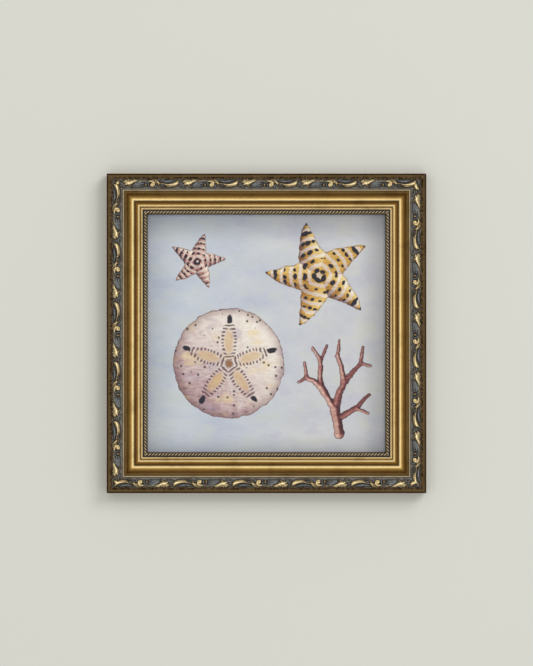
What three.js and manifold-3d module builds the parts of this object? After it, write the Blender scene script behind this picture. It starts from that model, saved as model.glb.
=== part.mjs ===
// A square gilt picture frame with a painted panel, hung on a wall by a sawtooth hanger.
// Four mitred rails carry a running scroll of leaves, two coves and a round sight bead.
// A painted canvas board and a backing board lie in the rebate, held by flat steel points.
// Millimetres, +Z up. The picture faces -Y and the wall is the plane Y = 0.
// The origin is the point of the hanger's middle notch that bears on the nail.
import * as THREE from "three";
import { mergeVertices } from "three/addons/utils/BufferGeometryUtils.js";
import Module from "manifold-3d";

const wasm = await Module();
wasm.setup();

// Driving sizes of the frame
const OUTER = 254; // outside of the square
const FACE = 32.5; // width of a rail seen from the front
const STANDOFF = 2.5; // from the wall to the back of the wood
const HANG_DROP = 15; // from the top edge down to the nail
const MITRE_GAP = 0.3; // glue line between two rails
const FIT = 0.4; // play around the boards in the rebate

// The moulding's section: distances across it from the outer edge, and heights above its back
const SIDE_HEIGHT = 15.6; // flat outer side
const LIP = { width: 2.8, height: 17.2 };
const LIP_HOLLOW = { across: 3.4, height: 16.4 };
const BAND = { start: 4.2, end: 12.3, edge: 19.3, crown: 21.1, slope: 2.1 }; // ground of the scroll
const FILLET = { start: 12.75, end: 13.85, height: 20 };
const SLOPE_END = { across: 15.9, height: 18.6 };
const COVE = { end: 21.2, height: 14.3, bend: 0.8 };
const INNER_COVE = { start: 22.2, top: 13.4, end: 26.1, height: 12.1, bend: 0.6 };
const QUIRK = { across: 26.5, height: 11.6 };
const INNER_FILLET = { start: 26.9, end: 28.5, height: 12.1 };
const SIGHT_BEAD = { start: 29.2, end: 32, base: 11, rise: 1.4 };
const SIGHT_EDGE = 9.2; // height at which the bead drops to the picture
const REBATE = { depth: 8.4, start: 25 };

// The boards
const PICTURE_THICK = 3;
const BACKING_THICK = 2;

// The scroll: lengths run clockwise along a rail, widths across it from the outer edge
const SCROLL_REPEATS = 5;
const SCROLL_PERIOD = 47.05;
const FIRST_FLOWER = { top: 17.55, right: 20.4, bottom: 20, left: 17.55 }; // from each rail's outer corner
const SINK = 0.25; // how far a leaf's edge lies below the ground
const PETAL = { halfWidth: 1.45, height: 2.2 };
const STEM = { halfWidth: 0.8, height: 1.6 };
const BALL = { halfWidth: 1.9, height: 2.2, around: 6, belly: 0.6 };
const CROSSING = { halfWidth: 1.2, height: 2 };
const BLADE = { halfWidth: 1.9, height: 2.2, around: 6, along: 6, belly: 0.68 };

// Steel points that hold the boards
const POINT = { length: 15, width: 5.5, thick: 0.5, inWood: 4.5, tip: 3, arcSteps: 3 };
const POINTS_FROM_MIDDLE = 60;
const PLAY = 0.3; // around a piece driven into the wood

// Hanger, its nails and the bumpers
const HANGER = { length: 46, height: 8.2, thick: 0.7, foot: 7, ramp: 2.5 };
const TEETH = { count: 9, pitch: 3, depth: 1.3 };
const NAIL = { head: 1.9, dome: 0.8, cheek: 0.7, shank: 0.7, length: 6, sides: 8 };
const BUMPER = { radius: 5, bevel: 0.8, fromEdge: 12.5, sides: 12 };

// Fineness of the facets
const ARC_STEPS = 4;
const MERGE_WITHIN = 1e-4;

const CENTRE_Z = HANG_DROP - OUTER / 2;
const REBATE_OPENING = OUTER - 2 * REBATE.start;
const BOARD = REBATE_OPENING - 2 * FIT;
const BACKING_BACK = REBATE.depth - PICTURE_THICK - BACKING_THICK;
const NAIL_X = (HANGER.length - HANGER.foot) / 2;
const NAIL_Z = HANGER.height / 2 - TEETH.depth;

// A geometry of three.js as a closed solid, and back again
function solidOf(geometry) {
  const bare = geometry.clone();
  bare.deleteAttribute("normal");
  bare.deleteAttribute("uv");
  const merged = mergeVertices(bare, MERGE_WITHIN);
  return new wasm.Manifold(
    new wasm.Mesh({
      numProp: 3,
      vertProperties: new Float32Array(merged.attributes.position.array),
      triVerts: new Uint32Array(merged.index.array),
    }),
  );
}

function geometryOf(solid) {
  const mesh = solid.getMesh();
  return new THREE.BufferGeometry()
    .setAttribute("position", new THREE.BufferAttribute(mesh.vertProperties, 3))
    .setIndex(new THREE.BufferAttribute(mesh.triVerts, 1));
}

function extrude(shape, depth, curveSegments = ARC_STEPS) {
  return new THREE.ExtrudeGeometry(shape, { depth, curveSegments, bevelEnabled: false });
}

// From (across, height, along) on a rail to the frame, for the top rail
const TOP_RAIL = new THREE.Matrix4()
  .makeBasis(
    new THREE.Vector3(0, 0, -1),
    new THREE.Vector3(0, -1, 0),
    new THREE.Vector3(-1, 0, 0),
  )
  .setPosition(OUTER / 2, -STANDOFF, OUTER / 2);

// The ground of the scroll band is a low crown, flat on top and sloping to both edges
function groundHeight(across) {
  const fromEdge = Math.min(across - BAND.start, BAND.end - across);
  const rise = Math.min(fromEdge / BAND.slope, 1);
  return BAND.edge + (BAND.crown - BAND.edge) * rise;
}

function mouldingSection() {
  const section = new THREE.Shape();
  section.moveTo(0, 0);
  section.lineTo(REBATE.start, 0);
  section.lineTo(REBATE.start, REBATE.depth);
  section.lineTo(FACE, REBATE.depth);
  section.lineTo(FACE, SIGHT_EDGE);
  section.lineTo(SIGHT_BEAD.end, SIGHT_BEAD.base);
  const beadMiddle = (SIGHT_BEAD.start + SIGHT_BEAD.end) / 2;
  const beadRadius = (SIGHT_BEAD.end - SIGHT_BEAD.start) / 2;
  section.absellipse(beadMiddle, SIGHT_BEAD.base, beadRadius, SIGHT_BEAD.rise, 0, Math.PI, false);
  section.lineTo(INNER_FILLET.end, INNER_FILLET.height);
  section.lineTo(INNER_FILLET.start, INNER_FILLET.height);
  section.lineTo(QUIRK.across, QUIRK.height);
  section.lineTo(INNER_COVE.end, INNER_COVE.height);
  const innerBend = INNER_COVE.start + INNER_COVE.bend;
  section.quadraticCurveTo(innerBend, INNER_COVE.height, INNER_COVE.start, INNER_COVE.top);
  section.lineTo(COVE.end, COVE.height);
  const coveBend = SLOPE_END.across + COVE.bend;
  section.quadraticCurveTo(coveBend, COVE.height, SLOPE_END.across, SLOPE_END.height);
  section.lineTo(FILLET.end, FILLET.height);
  section.lineTo(FILLET.start, FILLET.height);
  section.lineTo(BAND.end, BAND.edge);
  section.lineTo(BAND.end - BAND.slope, BAND.crown);
  section.lineTo(BAND.start + BAND.slope, BAND.crown);
  section.lineTo(BAND.start, BAND.edge);
  section.lineTo(LIP_HOLLOW.across, LIP_HOLLOW.height);
  section.quadraticCurveTo(LIP.width, LIP.height, LIP.width / 2, LIP.height);
  section.quadraticCurveTo(0, LIP.height, 0, SIDE_HEIGHT);
  section.closePath();
  return section;
}

// One carved leaf: a long bead bent along a path on the band, tapering to both ends.
// The belly moves its widest place along the path, 0.5 being the middle.
function leaf(points, { halfWidth, height, around = 4, along = 4, belly = 0.5 }) {
  const path = new THREE.SplineCurve(points.map(([s, u]) => new THREE.Vector2(s, u)));
  const bias = Math.log(belly) / Math.log(0.5);
  const geometry = new THREE.SphereGeometry(1, around, along);
  const position = geometry.attributes.position;
  for (let i = 0; i < position.count; i++) {
    const t = Math.pow(THREE.MathUtils.clamp((position.getY(i) + 1) / 2, 0, 1), bias);
    const centre = path.getPoint(t);
    const ahead = path.getTangent(t);
    const side = position.getZ(i) * halfWidth;
    const s = centre.x + side * ahead.y;
    const u = centre.y - side * ahead.x;
    const h = groundHeight(u) - SINK + position.getX(i) * height;
    position.setXYZ(i, s - OUTER / 2, -STANDOFF - h, OUTER / 2 - u);
  }
  return solidOf(geometry);
}

// The leaves of one repeat, at the given distance along the rail
function scrollLeaves(start) {
  const place = (points) => points.map(([s, u]) => [start + s, u]);
  const flower = [
    [[1.2, 7.5], [-1.4, 7], [-4.2, 6.8]],
    [[0.4, 7.4], [0.2, 6], [0, 4.6]],
    [[1, 7.9], [-1.2, 8.4], [-3.4, 8.9]],
    [[0, 7.6], [0.8, 9.4], [3, 11.2]],
    [[-1.8, 7.8], [2.8, 7.2], [7.4, 5.5]],
  ].map((points) => leaf(place(points), PETAL));
  const stem = leaf(place([[6.6, 6.3], [10.4, 5.5], [14, 5.5], [17.4, 6.8]]), STEM);
  const ball = leaf(place([[16, 6.4], [19.2, 7.6], [18.8, 10.6]]), BALL);
  const crossing = leaf(place([[16.6, 4.8], [20.6, 5.2], [23.2, 7.2], [26.2, 10.6]]), CROSSING);
  const blade = leaf(place([[26.8, 8.6], [30.4, 9.2], [34.2, 9.7], [37.4, 8.8], [39.8, 6]]), BLADE);
  return [...flower, stem, ball, crossing, blade];
}

// The two ends are cut at 45 degrees, a little short of the corner's diagonal
function mitreWedge() {
  const half = OUTER / 2;
  const short = (MITRE_GAP / 2) * Math.SQRT2;
  const outline = new THREE.Shape();
  outline.moveTo(0, short);
  outline.lineTo(half, half + short);
  outline.lineTo(-half, half + short);
  outline.closePath();
  const deep = 2 * OUTER;
  return solidOf(extrude(outline, deep).translate(0, 0, -deep / 2).rotateX(Math.PI / 2));
}

// Slots in the rebate's wall that take the steel points
function pointSlot(along) {
  const size = [POINT.width + 2 * PLAY, POINT.thick + 2 * PLAY, POINT.inWood + 2 * PLAY];
  const slot = new THREE.BoxGeometry(...size);
  const height = BACKING_BACK - POINT.thick / 2;
  const across = REBATE.start - POINT.inWood / 2;
  return solidOf(slot.translate(along, -STANDOFF - height, OUTER / 2 - across));
}

function railSolid(firstFlower) {
  const moulding = extrude(mouldingSection(), OUTER).applyMatrix4(TOP_RAIL);
  let solid = solidOf(moulding);
  for (let repeat = -1; repeat < SCROLL_REPEATS; repeat++) {
    for (const piece of scrollLeaves(firstFlower + repeat * SCROLL_PERIOD)) {
      solid = solid.add(piece);
    }
  }
  solid = solid.intersect(mitreWedge());
  for (const along of [-POINTS_FROM_MIDDLE, POINTS_FROM_MIDDLE]) {
    solid = solid.subtract(pointSlot(along));
  }
  return solid;
}

// A point is a flat steel lozenge: its tip is in the wood and its tail lies on the backing
function pointGeometry(along) {
  const half = POINT.width / 2;
  const outline = new THREE.Shape();
  outline.moveTo(0, 0);
  outline.lineTo(half, POINT.tip);
  outline.lineTo(half, POINT.length - half);
  outline.absarc(0, POINT.length - half, half, 0, Math.PI, false);
  outline.lineTo(-half, POINT.tip);
  outline.closePath();
  const back = -STANDOFF - BACKING_BACK;
  const tipAt = OUTER / 2 - REBATE.start + POINT.inWood;
  return extrude(outline, POINT.thick, POINT.arcSteps).rotateX(-Math.PI / 2).translate(along, back, tipAt);
}

// The hanger is a pressed strip that bridges away from the wood, with a toothed lower edge
function hangerSolid() {
  const half = HANGER.length / 2;
  const bridge = half - HANGER.foot - HANGER.ramp;
  const wood = -STANDOFF;
  const section = new THREE.Shape();
  section.moveTo(-half, wood);
  section.lineTo(-half + HANGER.foot, wood);
  section.lineTo(-bridge, -HANGER.thick);
  section.lineTo(bridge, -HANGER.thick);
  section.lineTo(half - HANGER.foot, wood);
  section.lineTo(half, wood);
  section.lineTo(half, wood + HANGER.thick);
  section.lineTo(half - HANGER.foot, wood + HANGER.thick);
  section.lineTo(bridge, 0);
  section.lineTo(-bridge, 0);
  section.lineTo(-half + HANGER.foot, wood + HANGER.thick);
  section.lineTo(-half, wood + HANGER.thick);
  section.closePath();
  let strip = solidOf(extrude(section, HANGER.height).translate(0, 0, -TEETH.depth));
  const notch = new THREE.Shape();
  notch.moveTo(-TEETH.pitch / 2, -2 * TEETH.depth);
  notch.lineTo(TEETH.pitch / 2, -2 * TEETH.depth);
  notch.lineTo(TEETH.pitch / 2, -TEETH.depth);
  notch.lineTo(0, 0);
  notch.lineTo(-TEETH.pitch / 2, -TEETH.depth);
  notch.closePath();
  const cutter = extrude(notch, 4 * STANDOFF).rotateX(Math.PI / 2).translate(0, 2 * STANDOFF, 0);
  for (let i = 0; i < TEETH.count; i++) {
    const along = (i - (TEETH.count - 1) / 2) * TEETH.pitch;
    strip = strip.subtract(solidOf(cutter.clone().translate(along, 0, 0)));
  }
  for (const side of [-1, 1]) strip = strip.subtract(nailHole(side, NAIL.shank + PLAY));
  return strip;
}

function nailHole(side, radius) {
  const hole = new THREE.CylinderGeometry(radius, radius, 2 * (NAIL.length + PLAY), NAIL.sides);
  return solidOf(hole.translate(side * NAIL_X, -STANDOFF, NAIL_Z));
}

function nailGeometry(side) {
  const outline = [
    new THREE.Vector2(0, -NAIL.length),
    new THREE.Vector2(NAIL.shank, -NAIL.length + 2 * NAIL.shank),
    new THREE.Vector2(NAIL.shank, HANGER.thick),
    new THREE.Vector2(NAIL.head, HANGER.thick),
    new THREE.Vector2(NAIL.head * NAIL.cheek, HANGER.thick + NAIL.dome * NAIL.cheek),
    new THREE.Vector2(0, HANGER.thick + NAIL.dome),
  ];
  return new THREE.LatheGeometry(outline, NAIL.sides).translate(side * NAIL_X, -STANDOFF, NAIL_Z);
}

function bumperGeometry(side) {
  const outline = [
    new THREE.Vector2(0, 0),
    new THREE.Vector2(BUMPER.radius, 0),
    new THREE.Vector2(BUMPER.radius, STANDOFF - BUMPER.bevel),
    new THREE.Vector2(BUMPER.radius - BUMPER.bevel, STANDOFF),
    new THREE.Vector2(0, STANDOFF),
  ];
  const inset = OUTER / 2 - BUMPER.fromEdge;
  return new THREE.LatheGeometry(outline, BUMPER.sides)
    .translate(side * inset, -STANDOFF, -inset);
}

function board(thick, frontHeight) {
  const middle = frontHeight - thick / 2;
  return new THREE.BoxGeometry(BOARD, thick, BOARD).translate(0, -STANDOFF - middle, 0);
}

const gilt = new THREE.MeshStandardMaterial({ color: 0xb08a45, roughness: 0.38, metalness: 0.9 });
const canvas = new THREE.MeshStandardMaterial({ color: 0xc3c7cc, roughness: 0.8, metalness: 0 });
const hardboard = new THREE.MeshStandardMaterial({ color: 0x7a5a3c, roughness: 0.75, metalness: 0 });
const steel = new THREE.MeshStandardMaterial({ color: 0xa9aaa8, roughness: 0.4, metalness: 1 });
const brass = new THREE.MeshStandardMaterial({ color: 0xb99a4f, roughness: 0.35, metalness: 1 });
const rubber = new THREE.MeshStandardMaterial({ color: 0x2c2a28, roughness: 0.85, metalness: 0 });

function named(name, geometry, material) {
  const mesh = new THREE.Mesh(geometry, material);
  mesh.name = name;
  return mesh;
}

const framedPicture = new THREE.Group();
const frame = new THREE.Group();
frame.position.z = CENTRE_Z;
framedPicture.add(frame);

const nailHoles = [-1, 1].map((side) => nailHole(side, NAIL.shank + PLAY).translate([0, 0, -CENTRE_Z]));

["top", "right", "bottom", "left"].forEach((place, quarter) => {
  const side = new THREE.Group();
  side.rotation.y = (quarter * Math.PI) / 2;
  let rail = railSolid(FIRST_FLOWER[place]);
  if (place === "top") {
    for (const hole of nailHoles) rail = rail.subtract(hole);
  }
  side.add(named(`rail_${place}`, geometryOf(rail), gilt));
  [-POINTS_FROM_MIDDLE, POINTS_FROM_MIDDLE].forEach((along, i) => {
    side.add(named(`point_${place}_${i + 1}`, pointGeometry(along), steel));
  });
  frame.add(side);
});

frame.add(named("picture_panel", board(PICTURE_THICK, REBATE.depth), canvas));
frame.add(named("backing_board", board(BACKING_THICK, REBATE.depth - PICTURE_THICK), hardboard));

framedPicture.add(named("hanger", geometryOf(hangerSolid()), brass));
[["left", -1], ["right", 1]].forEach(([place, side]) => {
  framedPicture.add(named(`hanger_nail_${place}`, nailGeometry(side), brass));
  frame.add(named(`bumper_${place}`, bumperGeometry(side), rubber));
});

export default framedPicture;
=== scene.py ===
import math
import bmesh
import bpy
import numpy as np
from mathutils import Matrix, Vector
from mathutils.geometry import interpolate_bezier


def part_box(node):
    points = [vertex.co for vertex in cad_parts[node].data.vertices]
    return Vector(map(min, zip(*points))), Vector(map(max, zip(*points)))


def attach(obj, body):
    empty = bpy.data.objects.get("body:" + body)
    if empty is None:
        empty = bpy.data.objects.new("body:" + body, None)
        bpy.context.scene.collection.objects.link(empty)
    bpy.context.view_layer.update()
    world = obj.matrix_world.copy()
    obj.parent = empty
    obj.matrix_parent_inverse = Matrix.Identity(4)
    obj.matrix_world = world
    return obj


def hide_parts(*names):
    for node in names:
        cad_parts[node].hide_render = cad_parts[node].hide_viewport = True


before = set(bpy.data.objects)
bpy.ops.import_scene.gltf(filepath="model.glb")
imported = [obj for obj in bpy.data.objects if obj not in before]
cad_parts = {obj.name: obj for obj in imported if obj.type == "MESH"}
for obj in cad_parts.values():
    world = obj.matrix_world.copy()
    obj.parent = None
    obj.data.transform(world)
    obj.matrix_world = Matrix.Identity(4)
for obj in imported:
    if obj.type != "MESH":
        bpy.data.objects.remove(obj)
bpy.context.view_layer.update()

# Rails
# Four lengths of softwood moulding, gessoed, gilded and toned with umber, mitred and glued.
# A running scroll is pressed in composition on the crown, and a rope twist runs along the
# sight edge. The section is swept along the rail, then the scroll and the twist are raised on it.
MM = 0.001
OUTER = 254.0
FACE = 32.5
STANDOFF = 2.5
TOP_EDGE = 15.0
REBATE_WALL = 25.0
REBATE_DEPTH = 8.4
GLUE_LINE = 0.03
RAIL_ROWS = 800
CENTRE = Vector((0, 0, (TOP_EDGE - OUTER / 2) * MM))

section = [Vector((0.5, 0.0))]


def carry_to(across, height, steps=1, bend=None):
    """Carries the moulding's section on to a point, straight or bent towards another point."""
    start = section[-1].copy()
    end = Vector((across, height))
    middle = Vector(bend) if bend else (start + end) / 2
    for step in range(1, steps + 1):
        t = step / steps
        section.append(start.lerp(middle, t).lerp(middle.lerp(end, t), t))


# outer side and lip
SIDE_HEIGHT = 15.6
carry_to(0.0, 0.5)
carry_to(0.0, SIDE_HEIGHT, 3)
carry_to(1.4, 17.2, 4, bend=(0.0, 17.2))
carry_to(3.4, 16.6, 4, bend=(2.9, 17.2))
# crown that carries the scroll
CROWN_START = 4.2
CROWN_END = 12.3
carry_to(CROWN_START, 18.9, 3)
carry_to(CROWN_END, 19.3, 38, bend=(8.2, 23.2))
# fillet and toned slope with a fine raised line
carry_to(12.75, 20.0, 2)
carry_to(13.75, 20.05, 3, bend=(13.25, 20.3))
carry_to(14.1, 19.5)
carry_to(15.1, 18.75, 2)
carry_to(15.5, 18.9)
carry_to(15.9, 18.4)
# main cove, its sharp lower edge, and the small cove
carry_to(21.3, 14.3, 10, bend=(16.7, 14.2))
carry_to(21.6, 14.1)
carry_to(22.2, 13.3)
carry_to(26.1, 12.1, 7, bend=(23.1, 12.1))
# quirk, inner fillet and groove
carry_to(26.5, 11.6)
carry_to(26.9, 12.05)
carry_to(28.5, 12.1, 2)
carry_to(28.8, 11.5)
carry_to(29.15, 11.1)
# sight bead, then round the rebate to the back
carry_to(30.6, 12.4, 8, bend=(29.15, 12.4))
carry_to(32.05, 10.9, 8, bend=(32.05, 12.4))
carry_to(FACE, 9.2)
carry_to(FACE, REBATE_DEPTH)
carry_to(REBATE_WALL, REBATE_DEPTH, 2)
carry_to(REBATE_WALL, 0.0, 2)

swept = bmesh.new()
corners = []
for point in section:
    place = (-OUTER / 2 * MM, -(STANDOFF + point.y) * MM, (TOP_EDGE - point.x) * MM)
    corners.append(swept.verts.new(place))
outline = [swept.edges.new(pair) for pair in zip(corners, corners[1:] + corners[:1])]
far_end = [item for item in bmesh.ops.extrude_edge_only(swept, edges=outline)["geom"]
           if isinstance(item, bmesh.types.BMVert)]
bmesh.ops.translate(swept, vec=(OUTER * MM, 0, 0), verts=far_end)
lengthwise = [edge for edge in swept.edges if edge.calc_length() > 0.9 * OUTER * MM]
bmesh.ops.subdivide_edges(swept, edges=lengthwise, cuts=RAIL_ROWS - 1, use_grid_fill=True)
bmesh.ops.holes_fill(swept, edges=[edge for edge in swept.edges if edge.is_boundary], sides=0)
bmesh.ops.recalc_face_normals(swept, faces=swept.faces)
moulding = bpy.data.meshes.new("moulding")
swept.to_mesh(moulding)
swept.free()

# the scroll runs clockwise; each rail was cut from the length at its own place in the repeat
SCROLL_PERIOD = 47.05
FIRST_FLOWER = {"top": 17.55, "right": 20.4, "bottom": 20.0, "left": 17.55}
SCROLL_RISE = 2.2

# each leaf or stem: a Bezier path along and across the rail, its half widths, its rise and its gilding,
# which also paints some leaves darker as painted shade
FLOWER = [
    ([(-0.4, 7.1), (-1.6, 6.8), (-2.7, 6.7), (-3.8, 6.8)], (1.5, 1.35, 1.05, 0.5), 2.0, 1.0),
    ([(0.2, 8.2), (-1.0, 8.5), (-2.0, 8.6), (-3.0, 8.8)], (1.4, 1.2, 0.9, 0.45), 2.0, 1.0),
    ([(-1.5, 7.3), (0.0, 7.7), (1.5, 7.8), (2.9, 6.9)], (1.7, 2.1, 1.8, 1.3), 2.2, 1.0),
    ([(2.4, 6.9), (4.0, 6.1), (5.4, 5.8), (7.2, 5.7)], (1.4, 1.35, 1.1, 0.4), 2.0, 0.95),
    ([(-2.6, 6.2), (-1.0, 5.9), (0.8, 5.9), (2.6, 6.2)], (0.9, 1.1, 1.1, 0.9), 1.6, 0.74),
    ([(0.2, 6.8), (0.2, 6.0), (0.2, 5.4), (0.1, 4.8)], (1.3, 1.0, 0.5), 1.8, 0.72),
    ([(-1.4, 6.6), (-1.6, 6.1), (-1.8, 5.7), (-2.2, 5.2)], (1.0, 0.8, 0.4), 1.8, 0.82),
    ([(2.4, 6.6), (2.3, 6.1), (2.2, 5.8), (2.1, 5.4)], (1.0, 0.8, 0.4), 1.7, 0.7),
    ([(3.8, 6.2), (4.2, 5.7), (4.6, 5.3), (5.0, 5.0)], (1.0, 0.8, 0.4), 1.7, 0.8),
    ([(0.2, 8.8), (0.6, 9.4), (1.2, 10.2), (2.9, 11.2)], (0.95, 0.8, 0.6, 0.4), 1.4, 0.52),
]
STEM_AND_BALL = [
    ([(7.8, 6.3), (10.4, 5.3), (14.2, 5.4), (17.0, 6.4)], (0.3, 0.42, 0.42, 0.55), 1.1, 0.5),
    ([(16.4, 6.5), (18.0, 6.0), (20.2, 6.6), (20.5, 8.6)], (0.55, 0.95, 1.1, 0.9), 2.0, 1.0),
    ([(20.4, 8.4), (20.4, 10.2), (18.6, 10.9), (17.7, 9.8)], (0.95, 0.95, 0.8, 0.7), 2.0, 0.9),
    ([(17.7, 9.8), (17.5, 9.0), (18.0, 8.2), (18.8, 8.4)], (0.65, 0.6, 0.55, 0.5), 1.7, 0.95),
    ([(18.5, 8.7), (18.8, 8.8), (19.1, 9.0), (19.3, 9.1)], (1.2, 1.2), 1.5, 0.72),
    ([(13.5, 8.4), (13.9, 9.0), (13.9, 9.5), (13.5, 10.2)], (0.45, 0.75, 0.45), 1.1, 0.6),
]
CROSSING = [
    ([(17.6, 4.9), (20.2, 4.9), (22.0, 5.7), (23.3, 7.3)], (0.35, 0.7, 0.95, 1.05), 1.8, 0.64),
    ([(21.6, 5.8), (22.6, 6.6), (23.5, 7.6), (24.5, 8.3)], (0.7, 1.15, 1.0, 0.5), 2.0, 0.92),
    ([(17.6, 5.5), (19.6, 5.7), (21.0, 6.5), (22.1, 7.9)], (0.35, 0.5, 0.55, 0.4), 1.3, 0.35),
    ([(24.2, 8.0), (25.6, 7.9), (27.4, 8.1), (29.2, 8.6)], (0.5, 0.5, 0.55, 0.6), 1.4, 0.5),
    ([(23.6, 8.6), (24.4, 10.0), (25.6, 11.2), (28.0, 11.2)], (0.5, 0.55, 0.5, 0.4), 1.2, 0.35),
    ([(28.0, 11.1), (30.0, 11.1), (32.5, 11.1), (35.0, 10.9)], (0.35, 0.3, 0.25), 0.8, 0.3),
]
CRADLING_LEAF = [
    ([(28.8, 8.9), (32.0, 9.5), (36.4, 9.4), (38.6, 7.6)], (0.35, 0.65, 1.05, 1.5, 1.5), 2.2, 1.0),
    ([(38.4, 7.6), (38.9, 7.0), (39.2, 6.6), (39.3, 6.1)], (1.3, 1.0, 0.4), 1.9, 1.0),
    ([(29.5, 10.0), (32.5, 10.8), (36.0, 10.6), (38.8, 9.2)], (0.4, 0.6, 0.7, 0.6), 1.3, 0.46),
    ([(39.0, 5.6), (38.4, 4.9), (37.2, 4.8), (36.0, 5.2)], (0.4, 0.6, 0.55, 0.35), 1.2, 0.42),
]
GREY_LEAVES = [
    ([(5.6, 7.6), (8.0, 6.4), (12.0, 6.3), (15.6, 6.9)], (0.4, 0.7, 0.6, 0.4), 0.7, 0.0),
    ([(4.4, 8.8), (6.6, 7.6), (9.6, 7.6), (12.2, 8.4)], (0.5, 0.75, 0.7, 0.4), 0.85, 0.0),
    ([(3.9, 9.9), (6.2, 8.9), (9.0, 9.0), (11.8, 10.0)], (0.5, 0.75, 0.7, 0.4), 0.8, 0.0),
    ([(3.8, 10.8), (6.0, 10.3), (8.5, 10.3), (11.0, 10.9)], (0.35, 0.5, 0.45, 0.3), 0.6, 0.0),
    ([(15.4, 7.4), (16.1, 8.2), (16.2, 9.4), (15.7, 10.6)], (0.35, 0.55, 0.35), 0.7, 0.0),
    ([(21.6, 10.8), (21.9, 9.8), (22.0, 9.3), (22.2, 8.8)], (0.8, 0.6, 0.3), 0.6, 0.0),
    ([(25.6, 9.2), (26.4, 9.1), (27.2, 9.4), (28.0, 9.9)], (0.45, 0.65, 0.4), 0.5, 0.0),
    ([(25.2, 5.8), (28.2, 6.8), (32.4, 6.8), (35.4, 5.4)], (0.35, 0.75, 0.8, 0.35), 0.9, 0.0),
    ([(-5.6, 9.6), (-4.8, 9.0), (-4.2, 9.4), (-3.2, 10.2)], (0.5, 0.8, 0.5), 0.6, 0.0),
    ([(-5.8, 6.6), (-5.3, 6.0), (-4.8, 5.7), (-4.3, 5.4)], (0.45, 0.6, 0.35), 1.0, 0.38),
    ([(-4.6, 10.9), (-3.6, 10.7), (-2.8, 10.9), (-2.2, 11.2)], (0.35, 0.45, 0.3), 0.6, 0.25),
    ([(40.5, 9.3), (41.0, 9.8), (41.0, 10.2), (40.8, 10.6)], (0.4, 0.55, 0.3), 0.7, 0.3),
    ([(29.6, 4.9), (30.0, 4.3), (30.6, 4.2), (31.2, 4.6)], (0.25, 0.35, 0.25), 0.6, 0.2),
    ([(32.2, 4.8), (32.6, 4.2), (33.2, 4.1), (33.8, 4.6)], (0.25, 0.35, 0.25), 0.6, 0.2),
]
# each cut line: its path, its half width and its depth
CUTS = [
    ([(24.8, 6.6), (28.4, 8.2), (33.5, 8.8), (38.6, 5.6)], 0.55, 0.7),
    ([(-3.8, 7.8), (-3.1, 7.7), (-2.5, 7.7), (-1.8, 7.6)], 0.24, 0.45),
    ([(1.1, 4.9), (1.0, 5.4), (0.9, 5.9), (0.7, 6.4)], 0.26, 0.45),
    ([(-1.0, 4.9), (-0.9, 5.4), (-0.7, 5.9), (-0.5, 6.4)], 0.26, 0.45),
    ([(3.2, 5.0), (3.1, 5.4), (2.9, 5.8), (2.6, 6.2)], 0.26, 0.45),
    ([(2.2, 9.6), (2.0, 9.2), (1.8, 8.9), (1.6, 8.5)], 0.24, 0.45),
    ([(-1.0, 9.9), (-0.9, 9.6), (-0.8, 9.3), (-0.7, 8.9)], 0.24, 0.45),
    ([(12.8, 8.0), (12.4, 8.8), (12.4, 9.7), (12.8, 10.6)], 0.4, 0.5),
    ([(14.8, 8.0), (15.2, 8.9), (15.2, 9.8), (14.8, 10.6)], 0.3, 0.5),
    ([(16.2, 7.4), (16.8, 7.4), (17.0, 8.0), (16.7, 9.0)], 0.3, 0.6),
    ([(17.4, 5.0), (19.8, 5.0), (21.6, 5.9), (22.9, 7.6)], 0.2, 0.5),
]

# how a leaf swells from its edges, thins at its ends, takes gilding painted brightest where it swells (a
# painted highlight), and paints shade on the ground beside it
BEADS = 36
LEAF_REACH = 3.2
SWELL_POWER = 0.42
END_LIFT = 0.45
FULL_GILDING = 0.75
HOLLOW_REACH = 0.8
HOLLOW_SOFT = 0.6
HOLLOW_TOP = 0.5
CUT_REACH = 1.5
DEEPEST_CUT = 0.4
OUTER_FADE = 0.5
INNER_FADE = 0.35
CROWN_LOW = 17.5

# the rope twist on the sight bead
ROPE_CENTRE = (30.6, 10.9)
ROPE_START = 29.14
ROPE_END = 32.06
ROPE_LOW = 10.89
ROPE_PITCH = 2.64
ROPE_TWIST = 1.65
ROPE_DEPTH = 0.6
ROPE_MEAN = 0.75
# the rail's own map, in units of so many mm, and how its outer side and bare faces are told
MAP_SPAN = 100.0
SIDE_REACH = 0.6
SKIN = 0.1
RAIL_SHARP = 50


def near_path(scroll_along, scroll_across, path, reach):
    """Vertices of the crown near a Bezier path, and their distances from points along it."""
    middle = (path[0][0] + path[3][0]) / 2
    from_middle = (scroll_along - middle + SCROLL_PERIOD / 2) % SCROLL_PERIOD - SCROLL_PERIOD / 2
    near = np.nonzero(np.abs(from_middle) < abs(path[3][0] - path[0][0]) / 2 + reach)[0]
    distances = []
    for point in interpolate_bezier(*[Vector(point) for point in path], BEADS):
        distances.append(np.hypot(from_middle[near] + middle - point.x, scroll_across[near] - point.y))
    return near, distances


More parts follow.
